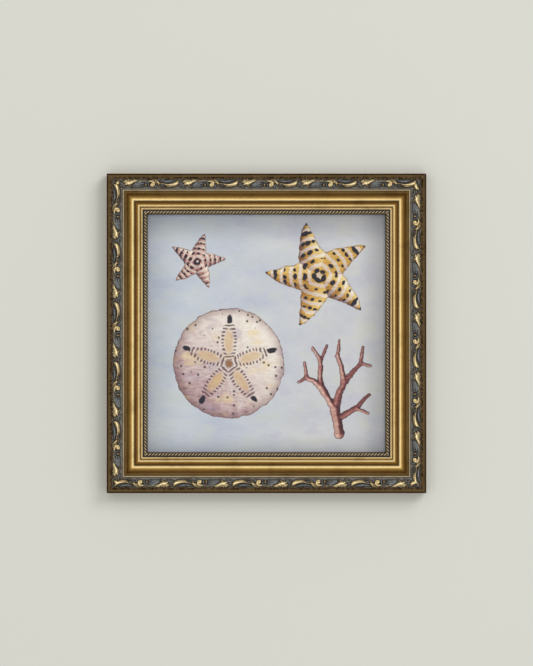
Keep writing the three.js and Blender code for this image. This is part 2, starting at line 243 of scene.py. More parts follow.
def carve_scroll(scroll_along, scroll_across):
    """The scroll's rise above the crown, its gilding with painted highlights, and the painted shade of its
    hollows.
    """
    rise = np.zeros(scroll_along.size)
    gilding = np.zeros(scroll_along.size)
    gap = np.full(scroll_along.size, np.inf)
    for path, widths, height, gold in FLOWER + STEM_AND_BALL + CROSSING + CRADLING_LEAF + GREY_LEAVES:
        near, distances = near_path(scroll_along, scroll_across, path, LEAF_REACH)
        spread = np.interp(np.linspace(0, 1, BEADS), np.linspace(0, 1, len(widths)), widths)
        for away, width in zip(distances, spread):
            swell = np.clip(1 - (away / width) ** 2, 0, None) ** SWELL_POWER
            lift = height * min(1.0, END_LIFT + (1 - END_LIFT) * width / max(widths))
            rise[near] = np.maximum(rise[near], lift * swell)
            gilding[near] = np.maximum(gilding[near], gold * np.clip(swell / FULL_GILDING, 0, 1))
            gap[near] = np.minimum(gap[near], away - width)
    hollow_shade = np.clip((HOLLOW_REACH - gap) / HOLLOW_SOFT, 0, 1) * np.clip(1 - rise / HOLLOW_TOP, 0, 1)
    for path, width, depth in CUTS:
        near, distances = near_path(scroll_along, scroll_across, path, CUT_REACH)
        cut = np.clip(1 - (np.min(distances, axis=0) / width) ** 2, 0, None)
        rise[near] -= cut * depth
        gilding[near] *= 1 - cut
        hollow_shade[near] = np.maximum(hollow_shade[near], cut)
    edge_fade = np.clip((scroll_across - CROWN_START) / OUTER_FADE, 0, 1)
    edge_fade *= np.clip((CROWN_END - scroll_across) / INNER_FADE, 0, 1)
    return np.clip(rise, -DEEPEST_CUT, None) * edge_fade, gilding * edge_fade, hollow_shade * edge_fade


def gilt_rail(name, first_flower):
    """One rail: the moulding cut to its mitres, with its scroll raised and its rope twisted."""
    mesh = moulding.copy()
    mesh.name = name
    count = len(mesh.vertices)
    places = np.empty(count * 3)
    mesh.vertices.foreach_get("co", places)
    places = places.reshape(count, 3) / MM
    across = TOP_EDGE - places[:, 2]
    height = -places[:, 1] - STANDOFF
    run = places[:, 0] * (OUTER / 2 - across - GLUE_LINE) / (OUTER / 2)
    along = run + OUTER / 2
    down_side = np.where(across < SIDE_REACH, np.clip(SIDE_HEIGHT - height, 0, None), 0)
    run_map = np.stack([along, across - down_side], axis=1) / MAP_SPAN

    relief = np.zeros(count)
    gilding = np.zeros(count)
    hollow_shade = np.zeros(count)
    on_crown = (across > CROWN_START) & (across < CROWN_END) & (height > CROWN_LOW)
    carved = carve_scroll(along[on_crown] - first_flower, across[on_crown])
    height[on_crown] += carved[0]
    relief[on_crown] = np.clip(carved[0] / SCROLL_RISE, 0, 1)
    gilding[on_crown] = carved[1]
    hollow_shade[on_crown] = carved[2]

    on_rope = (across > ROPE_START) & (across < ROPE_END) & (height > ROPE_LOW)
    swing = np.arctan2(height[on_rope] - ROPE_CENTRE[1], across[on_rope] - ROPE_CENTRE[0])
    turns = along[on_rope] / ROPE_PITCH - ROPE_TWIST * swing / math.pi
    strand = np.abs(np.sin(math.pi * turns))
    across[on_rope] += ROPE_DEPTH * (strand - ROPE_MEAN) * np.cos(swing)
    height[on_rope] += ROPE_DEPTH * (strand - ROPE_MEAN) * np.sin(swing)
    relief[on_rope] = strand

    places = np.stack([run, -(STANDOFF + height), TOP_EDGE - across], axis=1) * MM
    mesh.vertices.foreach_set("co", places.ravel())
    for attribute, values in (("relief", relief), ("gilding", gilding), ("hollow_shade", hollow_shade)):
        mesh.attributes.new(attribute, "FLOAT", "POINT").data.foreach_set("value", values)
    owners = np.empty(len(mesh.loops), dtype=np.int32)
    mesh.loops.foreach_get("vertex_index", owners)
    mesh.uv_layers.new(name="run").data.foreach_set("uv", run_map[owners].ravel())
    middles = np.empty(len(mesh.polygons) * 3)
    mesh.polygons.foreach_get("center", middles)
    middles = middles.reshape(-1, 3) / MM
    middle_height = -middles[:, 1] - STANDOFF
    middle_across = TOP_EDGE - middles[:, 2]
    in_rebate = (middle_across > REBATE_WALL - SKIN) & (middle_height < REBATE_DEPTH + SKIN)
    bare = (middle_height < SKIN) | in_rebate
    mesh.polygons.foreach_set("material_index", bare.astype(np.int32))
    mesh.shade_smooth()
    mesh.set_sharp_from_angle(angle=math.radians(RAIL_SHARP))
    mesh.update()
    return mesh


def put(tree, kind, inputs=None, **options):
    """Adds a node, sets its options, and links or sets its inputs by name or number."""
    node = tree.nodes.new(kind)
    for option, value in options.items():
        setattr(node, option, value)
    for socket, value in (inputs or {}).items():
        if isinstance(value, bpy.types.NodeSocket):
            tree.links.new(value, node.inputs[socket])
        else:
            node.inputs[socket].default_value = value
    return node


def calc(tree, operation, *values):
    """Adds one step of arithmetic and gives its result."""
    return put(tree, "ShaderNodeMath", dict(enumerate(values)), operation=operation).outputs[0]


def times(tree, first, second):
    """One value times another."""
    return calc(tree, "MULTIPLY", first, second)


def minus(tree, first, second):
    """One value less another."""
    return calc(tree, "SUBTRACT", first, second)


def scaled(tree, value, factor, plus):
    """A value times a factor, and something added."""
    return calc(tree, "MULTIPLY_ADD", value, factor, plus)


def ease(tree, value, none_at, full_at, most=1.0):
    """A mask that eases from 0 to its most between two values."""
    span = {"Value": value, "From Min": none_at, "From Max": full_at, "To Max": most}
    return put(tree, "ShaderNodeMapRange", span, interpolation_type="SMOOTHSTEP").outputs["Result"]


def mix(tree, share, first, second, mode="MIX"):
    """Lays the second colour over the first by a share."""
    inputs = {0: share, 6: first, 7: second}
    return put(tree, "ShaderNodeMix", inputs, data_type="RGBA", blend_type=mode).outputs[2]


def tint(red, green, blue):
    """A paint colour given in 0 to 255 as seen on screen."""
    linear = [((c / 255 + 0.055) / 1.055) ** 2.4 if c > 10 else c / 3295 for c in (red, green, blue)]
    return (*linear, 1.0)


def ramp(tree, place, stops):
    """Colours along a line: a list of places from 0 to 1 and their paint colours."""
    node = put(tree, "ShaderNodeValToRGB", {"Fac": place})
    elements = node.color_ramp.elements
    elements[0].position = stops[0][0]
    elements[1].position = stops[-1][0]
    for position, _ in stops[1:-1]:
        elements.new(position)
    for element, (_, colour) in zip(elements, stops):
        element.color = tint(*colour)
    return node.outputs["Color"]


def noise(tree, where, scale, detail=3.0, rough=0.5):
    """Cloudy variation between 0 and 1."""
    inputs = {"Vector": where, "Scale": scale, "Detail": detail, "Roughness": rough}
    return put(tree, "ShaderNodeTexNoise", inputs).outputs["Fac"]


def own_place(tree):
    """Where a point is on the object."""
    return put(tree, "ShaderNodeTexCoord").outputs["Object"]


def new_group(name, inputs, output):
    """A new node group with one output, and the sockets that bring in its inputs."""
    group = bpy.data.node_groups.new(name, "ShaderNodeTree")
    for socket, kind in inputs.items():
        group.interface.new_socket(socket, in_out="INPUT", socket_type=f"NodeSocket{kind}")
    group.interface.new_socket(output, in_out="OUTPUT", socket_type="NodeSocketFloat")
    return group, group.nodes.new("NodeGroupInput").outputs


# lines drawn out one way: brushed toning, grain of wood, strokes of paint and rolled steel
drawn_grain, given = new_group("drawn_grain", {"Place": "Vector", "Turn": "Vector", "Stretch": "Vector",
                                               "Scale": "Float", "Detail": "Float", "Roughness": "Float"},
                               "Grain")
drawn_out = {"Vector": given["Place"], "Rotation": given["Turn"], "Scale": given["Stretch"]}
drawn_place = put(drawn_grain, "ShaderNodeMapping", drawn_out).outputs["Vector"]
drawn_lines = noise(drawn_grain, drawn_place, given["Scale"], given["Detail"], given["Roughness"])
put(drawn_grain, "NodeGroupOutput", {"Grain": drawn_lines})


def grained(tree, where, stretch, scale, detail, rough=0.5, turn=(0, 0, 0)):
    """Places the drawn grain in a material with its own values."""
    inputs = {"Place": where, "Turn": turn, "Stretch": stretch,
              "Scale": scale, "Detail": detail, "Roughness": rough}
    return put(tree, "ShaderNodeGroup", inputs, node_tree=drawn_grain).outputs["Grain"]


def new_material(name):
    """A new material, its node tree and its shader."""
    material = bpy.data.materials.new(name)
    material.use_nodes = True
    tree = material.node_tree
    shader = tree.nodes["Principled BSDF"]
    return material, tree, shader


def finish_shader(tree, shader, links, values):
    """Joins what varies over the surface to the shader, and sets what is the same all over."""
    for socket, source in links.items():
        tree.links.new(source, shader.inputs[socket])
    for socket, value in values.items():
        shader.inputs[socket].default_value = value


def bump(tree, height, distance, strength):
    """Fine relief of the surface, as a normal."""
    inputs = {"Height": height, "Distance": distance, "Strength": strength}
    return put(tree, "ShaderNodeBump", inputs).outputs["Normal"]


gilt, tree, shader = new_material("toned_gilt_and_painted_light")
run_uv = put(tree, "ShaderNodeUVMap", uv_map="run").outputs["UV"]
object_place = own_place(tree)
across_mm = times(tree, put(tree, "ShaderNodeSeparateXYZ", {0: run_uv}).outputs["Y"], MAP_SPAN)
raised, gilt_and_shade_level, hollow_shade_mask = [
    put(tree, "ShaderNodeAttribute", attribute_name=name).outputs["Fac"]
    for name in ("relief", "gilding", "hollow_shade")
]
streak = grained(tree, run_uv, (4, 150, 1), 4.0, 4.0, 0.6)
cloud = noise(tree, object_place, 55.0, 5.0, 0.6)
mottle = noise(tree, object_place, 480.0, 3.0, 0.6)
grit = noise(tree, object_place, 900.0, 3.0)


def within(tree, value, start, end, soft):
    """A mask of a band of values, with soft edges."""
    rising = ease(tree, value, start - soft, start + soft)
    return times(tree, rising, ease(tree, value, end + soft, end - soft))


# bands of toned leaf from the outer edge to the sight edge: umber toning, with painted highlights on the
# crests and painted shade in the coves and grooves
TONED_WIDTH = 33.0
wander = scaled(tree, streak, 0.4, -0.2)
toned_across = calc(tree, "DIVIDE", calc(tree, "ADD", across_mm, wander), TONED_WIDTH)
bronze = (62, 43, 15)
lip_bronze = (72, 57, 34)
# soft umber is umber toning with painted shade in the recesses; bright gold and crest gold are painted
# highlights on the crests
umber_and_painted_shade = (130, 99, 57)
old_gold = (146, 108, 46)
warm_gold = (162, 128, 70)
light_gold = (176, 147, 94)
painted_highlight_gold = (214, 192, 138)
pale_gold = (161, 148, 121)
brown_gold = (107, 78, 32)
deep_gold = (137, 93, 37)
drab_gold = (146, 132, 106)
rope_gold = (152, 133, 107)
grey_gold = (100, 93, 80)
umber_edge = (96, 82, 61)
painted_crest_highlight = (220, 197, 143)
leaf_bands_and_painted_light = [
    (1.1, bronze), (1.5, lip_bronze), (2.4, lip_bronze), (3.0, umber_and_painted_shade), (11.8, grey_gold),
    (12.6, grey_gold), (13.2, pale_gold), (13.7, pale_gold), (14.0, light_gold), (14.4, umber_and_painted_shade),
    (15.0, umber_and_painted_shade), (15.6, light_gold), (16.1, light_gold), (16.6, old_gold), (17.2, old_gold),
    (18.5, warm_gold), (19.8, warm_gold), (20.8, painted_highlight_gold), (21.7, painted_highlight_gold), (22.15, grey_gold),
    (22.4, deep_gold), (24.5, brown_gold), (25.9, painted_crest_highlight), (26.35, painted_crest_highlight), (26.65, umber_and_painted_shade),
    (27.1, umber_and_painted_shade), (27.45, light_gold), (28.45, drab_gold), (28.8, grey_gold), (29.6, grey_gold),
    (30.8, rope_gold), (32.3, umber_edge),
]
leaf_tone_and_painted_light = ramp(tree, toned_across, [(place / TONED_WIDTH, tone) for place, tone in leaf_bands_and_painted_light])
rubbed = ease(tree, cloud, 0.45, 0.75, 0.35)
leaf_tone_and_painted_light = mix(tree, rubbed, leaf_tone_and_painted_light, tint(120, 84, 40), "MULTIPLY")

# stained outer side, and the speckled brown between the lip and the scroll
on_side = ease(tree, across_mm, 0.0, -0.8)
side_stain = mix(tree, ease(tree, streak, 0.35, 0.65), tint(64, 46, 25), tint(106, 80, 46))
leaf_tone_and_painted_light = mix(tree, on_side, leaf_tone_and_painted_light, side_stain)
in_groove = within(tree, across_mm, 2.8, 6.0, 0.4)
pitted = noise(tree, object_place, 800.0, 2.0, 0.6)
groove_tone = mix(tree, ease(tree, pitted, 0.38, 0.6), tint(50, 37, 20), tint(160, 142, 112))
leaf_tone_and_painted_light = mix(tree, in_groove, leaf_tone_and_painted_light, groove_tone)

# slate patina on the ground of the scroll with a painted highlight on the raised grey leaves and painted
# shade in its hollows, and gold on the raised leaves with painted highlights and shade
ragged = calc(tree, "ADD", across_mm, scaled(tree, mottle, 3.0, -1.5))
on_band = times(tree, ease(tree, ragged, 4.5, 5.4), ease(tree, across_mm, 12.7, 12.4))
patina_and_highlight = mix(tree, ease(tree, cloud, 0.3, 0.7), tint(83, 88, 92), tint(113, 117, 118))
patina_and_highlight = mix(tree, ease(tree, raised, 0.1, 0.4), patina_and_highlight, tint(121, 126, 127))
patina_and_highlight = mix(tree, ease(tree, grit, 0.45, 0.7), patina_and_highlight, tint(72, 60, 44))
patina_and_highlight = mix(tree, ease(tree, across_mm, 10.2, 11.8), patina_and_highlight, tint(131, 128, 122))
band_colour = mix(tree, on_band, leaf_tone_and_painted_light, patina_and_highlight)
painted_hollow_shade = times(tree, hollow_shade_mask, 0.92)
band_colour = mix(tree, painted_hollow_shade, band_colour, tint(42, 28, 11))
# the gold is painted brightest where each leaf swells and darker at its edges, a painted highlight and
# shade, with wear
worn_gilt_and_shade = calc(tree, "ADD", gilt_and_shade_level, scaled(tree, mottle, 0.5, -0.28))
gold_top = times(tree, ease(tree, worn_gilt_and_shade, 0.12, 0.3), ease(tree, gilt_and_shade_level, 0.02, 0.1))
scroll_gold_and_painted_light = ramp(tree, worn_gilt_and_shade, [(0.15, (100, 84, 62)), (0.42, (156, 134, 102)),
                                      (0.7, (212, 185, 132)), (0.95, (244, 221, 168))])
colour = mix(tree, gold_top, band_colour, scroll_gold_and_painted_light)

# rope twist, with a painted highlight on its strands and painted shade between them, beside a groove of flat
# dark paint
on_twist = within(tree, across_mm, 29.7, 32.0, 0.3)
twist_painted_highlight = times(tree, on_twist, ease(tree, raised, 0.8, 1.0))
colour = mix(tree, twist_painted_highlight, colour, tint(184, 163, 128))
twist_painted_shade = times(tree, on_twist, ease(tree, raised, 0.85, 0.45))
colour = mix(tree, twist_painted_shade, colour, tint(98, 82, 59))
in_quirk = within(tree, across_mm, 28.9, 29.85, 0.2)
colour = mix(tree, in_quirk, colour, tint(78, 77, 67))
patina_share = times(tree, on_band, minus(tree, 1.0, gold_top))
matt = calc(tree, "MAXIMUM", patina_share, calc(tree, "MAXIMUM", in_quirk, on_side))
metal = scaled(tree, matt, -0.7, 0.95)
gloss = scaled(tree, matt, 0.25, scaled(tree, streak, 0.14, 0.27))
tooling = scaled(tree, grit, 0.35, streak)
finish_shader(tree, shader,
              {"Base Color": colour, "Metallic": metal, "Roughness": gloss,
               "Normal": bump(tree, tooling, 0.0002, 0.35)},
              {"IOR": 1.5})

pine, tree, shader = new_material("bare_pine")
run_uv = put(tree, "ShaderNodeUVMap", uv_map="run").outputs["UV"]
grain = grained(tree, run_uv, (1.5, 60, 1), 3.0, 5.0, 0.62)
pine_colour = ramp(tree, grain, [(0.3, (150, 112, 70)), (0.5, (194, 156, 108)), (0.7, (214, 182, 136))])
finish_shader(tree, shader,
              {"Base Color": pine_colour, "Normal": bump(tree, grain, 0.0003, 0.4)},
              {"Roughness": 0.72})


def quarter_turn(turns):
    """Turns a piece of the top rail round to the right, bottom or left rail."""
    turn = Matrix.Rotation(turns * math.pi / 2, 4, "Y")
    return Matrix.Translation(CENTRE) @ turn @ Matrix.Translation(-CENTRE)


def fix(name, mesh, node):
    """Makes the finished piece and ties it to the CAD model."""
    piece = bpy.data.objects.new(name, mesh)
    bpy.context.collection.objects.link(piece)
    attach(piece, "root")
    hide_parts(node)
    return piece


SIDES = ("top", "right", "bottom", "left")
for turns, side in enumerate(SIDES):
    rail_mesh = gilt_rail(f"gilt_rail_{side}", FIRST_FLOWER[side])
    rail_mesh.materials.append(gilt)
    rail_mesh.materials.append(pine)
    rail_mesh.transform(quarter_turn(turns))
    fix(f"gilt_rail_{side}", rail_mesh, f"rail_{side}")
bpy.data.meshes.remove(moulding)

# Picture panel
# A canvas board: primed cotton glued to card, painted in thick matt colour with sea life on a
# pale ground. It drops into the rebate from the back and shows no glass in front.
PANEL_ROUND = 0.5
BOARD_SHARP = 35


def mesh_of(shape, name, material, sharp=None):
    """A shape's finished mesh, smooth but for edges sharper than an angle in degrees."""
    mesh = bpy.data.meshes.new(name)
    shape.to_mesh(mesh)
    shape.free()
    mesh.materials.append(material)
    if sharp:
        mesh.shade_smooth()
        mesh.set_sharp_from_angle(angle=math.radians(sharp))
    return mesh


def board_mesh(name, node, round_over, material):
    """A board of a CAD node's size with rounded arrises."""
    low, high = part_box(node)
    board = bmesh.new()
    bmesh.ops.create_cube(board, size=1.0)
    bmesh.ops.scale(board, vec=high - low, verts=board.verts)
    bmesh.ops.translate(board, vec=(low + high) / 2, verts=board.verts)
    bmesh.ops.bevel(board, geom=board.edges, offset=round_over * MM, affect="EDGES", segments=3,
                    profile=0.5, material=-1)
    return mesh_of(board, name, material, BOARD_SHARP)


canvas, tree, shader = new_material("painted_canvas_and_frame_shadow")
object_place = own_place(tree)
mm_per_m = 1 / MM
to_mm = {"Vector": object_place, "Location": -CENTRE * mm_per_m, "Scale": (mm_per_m, mm_per_m, mm_per_m)}
in_mm = put(tree, "ShaderNodeMapping", to_mm).outputs["Vector"]
canvas_axes = put(tree, "ShaderNodeSeparateXYZ", {0: in_mm})
unsteady = {"Vector": in_mm, "Scale": 0.13, "Detail": 5.0, "Roughness": 0.6}
hand = put(tree, "ShaderNodeTexNoise", unsteady).outputs["Color"]
hand = put(tree, "ShaderNodeVectorMath", {0: hand, 1: (0.5, 0.5, 0.5)}, operation="SUBTRACT").outputs[0]
hand = put(tree, "ShaderNodeVectorMath", {0: hand, "Scale": 4.0}, operation="SCALE").outputs[0]
drawn = put(tree, "ShaderNodeVectorMath", {0: in_mm, 1: hand}, operation="ADD").outputs[0]
drawn_axes = put(tree, "ShaderNodeSeparateXYZ", {0: drawn})
draw_x = drawn_axes.outputs["X"]
draw_y = drawn_axes.outputs["Z"]


def strokes(turn, length, breadth, detail):
    """Brush strokes of a length and a breadth in mm, in one direction."""
    return grained(tree, in_mm, (1 / length, 1, 1 / breadth), 1.0, detail, 0.6, (0, turn, 0))


dabs = strokes(turn=0.6, length=7.0, breadth=2.0, detail=4.0)
bristles = strokes(turn=1.45, length=9.0, breadth=0.8, detail=3.0)
wash = strokes(turn=-0.5, length=40.0, breadth=26.0, detail=4.0)
patch = strokes(turn=0.9, length=24.0, breadth=15.0, detail=3.0)
fleck = noise(tree, in_mm, 0.9, 3.0, 0.6)
LIGHT_FROM = math.radians(50)
INK = tint(36, 32, 44)


def local_place(tree, centre, turn):
    """A motif's own coordinates, in mm from its centre."""
    dx = minus(tree, draw_x, centre[0])
    dy = minus(tree, draw_y, centre[1])
    cos, sin = math.cos(turn), math.sin(turn)
    own_x = scaled(tree, dx, cos, times(tree, dy, sin))
    own_y = scaled(tree, dy, cos, times(tree, dx, -sin))
    return own_x, own_y


def length_of(tree, x, y):
    """The length of a way across and up."""
    return calc(tree, "SQRT", scaled(tree, x, x, times(tree, y, y)))


ARMS = 5


def five_fold(tree, x, y, bend):
    """The radius, the distances along and across the nearest of the arms, and its direction."""
    radius = length_of(tree, x, y)
    angle = scaled(tree, radius, bend, calc(tree, "ARCTAN2", y, x))
    arms = times(tree, angle, ARMS / math.tau)
    nearest = calc(tree, "ROUND", arms)
    off = times(tree, minus(tree, arms, nearest), math.tau / ARMS)
    axial = times(tree, radius, calc(tree, "COSINE", off))
    lateral = times(tree, radius, calc(tree, "SINE", off))
    arm = times(tree, nearest, math.tau / ARMS)
    return radius, axial, lateral, arm


def blot(tree, along, across, size):
    """A mask of one dab of the brush tip, larger in some places than in others."""
    away = length_of(tree, along, times(tree, across, 0.7))
    reach = scaled(tree, patch, size * 3.0, away)
    return ease(tree, reach, size * 2.75, size * 2.25)


def brush_in(tree, below, edge, body, line):
    """Lays a motif over the ground with a broken line round it and a dry brush's edge."""
    broken = times(tree, ease(tree, edge, -1.5, -0.1), ease(tree, dabs, 0.3, 0.6))
    body = mix(tree, times(tree, broken, 0.85), body, line)
    dry_edge = calc(tree, "ADD", edge, scaled(tree, bristles, 1.2, -0.6))
    return mix(tree, ease(tree, dry_edge, 0.3, -0.3), below, body)


def paint_star(tree, below, centre, turn, reach, width, tones):
    """Paints one banded and spotted sea star over what is below."""
    own_x, own_y = local_place(tree, centre, turn)
    _, axial, lateral, arm = five_fold(tree, own_x, own_y, 0.005)
    left_over = minus(tree, 1.0, calc(tree, "DIVIDE", axial, reach))
    left_over = calc(tree, "MAXIMUM", left_over, 0.0)
    half = times(tree, calc(tree, "POWER", left_over, 0.72), width)
    edge = minus(tree, calc(tree, "ABSOLUTE", lateral), half)
    edge = calc(tree, "MAXIMUM", edge, minus(tree, axial, reach))
    side = calc(tree, "DIVIDE", lateral, calc(tree, "MAXIMUM", half, 0.8))
    lean = calc(tree, "SINE", minus(tree, LIGHT_FROM - turn, arm))
    lit = scaled(tree, dabs, 0.6, scaled(tree, times(tree, side, lean), 0.4, 0.22))
    body = ramp(tree, lit, tones)
    bow = scaled(tree, times(tree, side, side), 1.6, times(tree, fleck, 2.4))
    bands = calc(tree, "SINE", scaled(tree, axial, math.tau / (0.5 * width), bow))
    pale = ramp(tree, lit, [(0.15, (150, 132, 136)), (0.45, (208, 194, 184)), (0.8, (242, 234, 222))])
    body = mix(tree, ease(tree, bands, 0.1, 0.7, 0.8), body, pale)
    pitch = width * 0.52
    step = minus(tree, calc(tree, "PINGPONG", axial, pitch), pitch / 2)
    ridge = blot(tree, step, lateral, width * 0.1)
    inward = minus(tree, calc(tree, "ABSOLUTE", lateral), times(tree, half, 0.62))
    beads = blot(tree, step, inward, width * 0.075)
    body = mix(tree, calc(tree, "MAXIMUM", ridge, beads), body, INK)
    return brush_in(tree, below, edge, body, tint(92, 58, 44))


def paint_dollar(tree, below, centre, turn, size):
    """Paints one sand dollar over what is below."""
    own_x, own_y = local_place(tree, centre, turn)
    radius, axial, lateral, _ = five_fold(tree, own_x, own_y, 0.0)
    round_way = {"X": calc(tree, "DIVIDE", own_x, radius), "Y": calc(tree, "DIVIDE", own_y, radius),
                 "Z": times(tree, radius, 0.012)}
    rays = noise(tree, put(tree, "ShaderNodeCombineXYZ", round_way).outputs[0], 9.0, 4.0, 0.6)
    toward = LIGHT_FROM - turn
    lit = scaled(tree, own_y, math.sin(toward) * 0.26 / size, 0.06)
    lit = scaled(tree, own_x, math.cos(toward) * 0.26 / size, lit)
    lit = scaled(tree, rays, 0.42, lit)
    lit = scaled(tree, dabs, 0.46, lit)
    body = ramp(tree, lit, [(0.1, (128, 98, 106)), (0.3, (186, 156, 156)),
                            (0.48, (216, 200, 194)), (0.66, (234, 224, 212)), (0.9, (248, 243, 236))])
    warm = ease(tree, patch, 0.52, 0.68, 0.5)
    body = mix(tree, warm, body, tint(234, 208, 150))
    lilac = ease(tree, patch, 0.46, 0.32, 0.45)
    body = mix(tree, lilac, body, tint(176, 158, 176))
    long_way = calc(tree, "DIVIDE", minus(tree, axial, size * 0.4), size * 0.29)
    petal = length_of(tree, long_way, calc(tree, "DIVIDE", lateral, size * 0.115))
    ticks = calc(tree, "SINE", scaled(tree, axial, 2.3, times(tree, fleck, 3.0)))
    petal_line = ease(tree, calc(tree, "ABSOLUTE", minus(tree, petal, 1.0)), 0.32, 0.1)
    petal_line = times(tree, petal_line, ease(tree, ticks, -0.6, 0.5))
    body = mix(tree, times(tree, petal_line, 0.85), body, tint(84, 50, 54))
    in_petal = ease(tree, petal, 0.9, 0.5, 0.55)
    body = mix(tree, in_petal, body, tint(206, 166, 92))
    from_slot = times(tree, minus(tree, axial, size * 0.8), 0.4)
    slot = blot(tree, from_slot, lateral, size * 0.03)
    body = mix(tree, slot, body, INK)
    cells = put(tree, "ShaderNodeTexVoronoi", {"Vector": in_mm, "Scale": 0.17, "Randomness": 0.8})
    speck = ease(tree, cells.outputs["Distance"], 0.2, 0.13)
    speck = times(tree, speck, ease(tree, petal, 1.35, 1.6))
    body = mix(tree, times(tree, speck, 0.85), body, INK)
    body = mix(tree, ease(tree, radius, size * 0.075, size * 0.045), body, tint(150, 104, 66))
    turn_under = ease(tree, radius, size * 0.8, size, 0.5)
    body = mix(tree, turn_under, body, tint(150, 112, 112), "MULTIPLY")
    return brush_in(tree, below, minus(tree, radius, size), body, tint(98, 62, 62))


def outside_branch(tree, x, y, start, end, thick, thin):
    """How far outside one branch of coral a point is."""
    way = Vector(end) - Vector(start)
    from_x = minus(tree, x, start[0])
    from_y = minus(tree, y, start[1])
    dot = scaled(tree, from_x, way.x, times(tree, from_y, way.y))
    share = calc(tree, "MAXIMUM", calc(tree, "DIVIDE", dot, way.length_squared), 0.0)
    share = calc(tree, "MINIMUM", share, 1.0)
    off = length_of(tree, scaled(tree, share, -way.x, from_x), scaled(tree, share, -way.y, from_y))
    return minus(tree, off, scaled(tree, share, thin - thick, thick))


# each branch: where it starts and ends, and its half thickness there
CORAL = [
    ((58, -80), (54, -60), 4.2, 3.6), ((54, -60), (43, -42), 3.4, 2.6), ((54, -60), (62, -38), 3.4, 2.6),
    ((43, -42), (32, -35), 2.4, 1.8), ((43, -42), (43, -22), 2.5, 1.8), ((62, -38), (57, -18), 2.4, 1.7),
    ((62, -38), (75, -24), 2.4, 1.7), ((32, -35), (26, -39), 1.7, 1.3), ((32, -35), (30, -24), 1.7, 1.3),
    ((43, -22), (37, -12), 1.7, 1.3), ((43, -22), (48, -10), 1.7, 1.3), ((57, -18), (58, -6), 1.6, 1.3),
    ((75, -24), (83, -26), 1.6, 1.3), ((75, -24), (77, -11), 1.6, 1.3), ((56, -68), (71, -60), 2.8, 2.1),
    ((71, -60), (82, -49), 2.0, 1.4), ((71, -60), (81, -64), 1.7, 1.3),
]


def coral_outline(tree, shift):
    """How far outside the coral's branches a point is, seen from a little to one side."""
    x = minus(tree, draw_x, shift)
    y = minus(tree, draw_y, shift)
    outside = None
    for stick in CORAL:
        reach = outside_branch(tree, x, y, *stick)
        outside = reach if outside is None else calc(tree, "SMOOTH_MIN", outside, reach, 1.6)
    return outside


def paint_coral(tree, below):
    """Paints the coral sprig over what is below."""
    edge = coral_outline(tree, 0.0)
    to_light = minus(tree, edge, coral_outline(tree, 1.2))
    lit = scaled(tree, dabs, 0.7, scaled(tree, to_light, -0.22, 0.1))
    body = ramp(tree, lit, [(0.15, (74, 38, 44)), (0.4, (126, 72, 70)),
                            (0.62, (164, 108, 100)), (0.9, (222, 186, 170))])
    return brush_in(tree, below, edge, body, tint(58, 34, 42))


ground = ramp(tree, wash, [(0.3, (189, 193, 207)), (0.5, (199, 203, 212)), (0.7, (208, 211, 213))])
ground = mix(tree, ease(tree, patch, 0.5, 0.66, 0.6), ground, tint(203, 206, 202))
ground = mix(tree, ease(tree, patch, 0.44, 0.3, 0.6), ground, tint(193, 193, 210))
ground = mix(tree, ease(tree, dabs, 0.5, 0.8, 0.3), ground, tint(222, 222, 222))
cool_to_warm = ramp(tree, ease(tree, canvas_axes.outputs["X"], -90.0, 90.0),
                    [(0.0, (249, 253, 255)), (1.0, (255, 251, 245))])
ground = mix(tree, 1.0, ground, cool_to_warm, "MULTIPLY")
ground = mix(tree, ease(tree, bristles, 0.6, 0.8, 0.2), ground, tint(168, 170, 184))
picture = paint_coral(tree, ground)
picture = paint_dollar(tree, picture, centre=(-30, -24), turn=0.3, size=44.0)
OCHRE = [(0.15, (104, 66, 46)), (0.34, (166, 116, 48)), (0.54, (208, 164, 78)),
         (0.74, (226, 194, 120)), (0.95, (240, 224, 180))]
ROSE = [(0.15, (96, 58, 64)), (0.34, (150, 98, 94)), (0.54, (190, 142, 130)),
        (0.74, (220, 188, 172)), (0.95, (240, 224, 210))]
picture = paint_star(tree, picture, centre=(42, 46), turn=0.785, reach=43.0, width=15.0, tones=OCHRE)
picture = paint_star(tree, picture, centre=(-55, 57), turn=0.2, reach=23.0, width=8.0, tones=ROSE)

# painted shadow of the frame on the picture's edges: each side's axis and direction, and where it starts and
# is full
HALF_SIGHT = OUTER / 2 - FACE
PAINTED_FRAME_SHADOW = [("X", 1, 25.0, -1.0), ("X", -1, 33.0, -22.0), ("Z", 1, 27.0, 0.0), ("Z", -1, 17.0, -9.0)]
for axis, way, none_at, full_at in PAINTED_FRAME_SHADOW:
    inward = scaled(tree, canvas_axes.outputs[axis], -way, HALF_SIGHT)
    picture = mix(tree, ease(tree, inward, none_at, full_at), picture, tint(203, 203, 203), "MULTIPLY")


# threads or wires that cross: the canvas's weave, and the print of a screen on hardboard
crossed_threads, given = new_group("crossed_threads", {"Place": "Vector", "Pitch": "Float"}, "Relief")
thread_axes = put(crossed_threads, "ShaderNodeSeparateXYZ", {0: given["Place"]})
waves = []
for axis in ("X", "Z"):
    pitches = calc(crossed_threads, "DIVIDE", thread_axes.outputs[axis], given["Pitch"])
    waves.append(calc(crossed_threads, "SINE", times(crossed_threads, pitches, math.tau)))
put(crossed_threads, "NodeGroupOutput", {"Relief": times(crossed_threads, *waves)})


def woven(tree, where, pitch):
    """Places the crossed threads in a material at their own pitch."""
    inputs = {"Place": where, "Pitch": pitch}
    return put(tree, "ShaderNodeGroup", inputs, node_tree=crossed_threads).outputs["Relief"]


